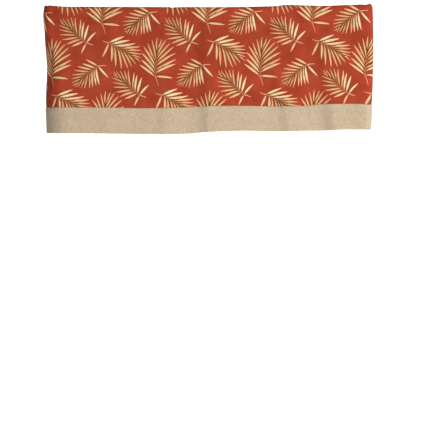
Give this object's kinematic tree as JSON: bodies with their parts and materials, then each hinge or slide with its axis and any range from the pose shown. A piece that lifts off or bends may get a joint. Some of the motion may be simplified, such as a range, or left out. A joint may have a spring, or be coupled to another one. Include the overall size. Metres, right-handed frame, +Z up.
{
  "type": "window valance",
  "caption": "Straight window valance with side returns: a printed cloth panel, a rod sleeve along its top edge and a plain linen band at its foot.",
  "frame": {"origin": "the middle of the top edge, on the middle plane of the rod sleeve", "axes": "+Z up, +X along the top edge to the right as seen from the room, and the face looks along -Y; the returns run back along +Y to the wall"},
  "size_m": [1.0772, 0.1044, 0.4169],
  "materials": {
    "printed_cloth": "matt woven cotton, brick red with a tan palm frond print",
    "linen": "coarse natural linen with slubs"
  },
  "bodies": {
    "root": {"printed_panel": "printed_cloth", "heading_left": "printed_cloth", "heading_face": "printed_cloth", "heading_right": "printed_cloth", "contrast_band": "linen"}
  },
  "joints": []
}
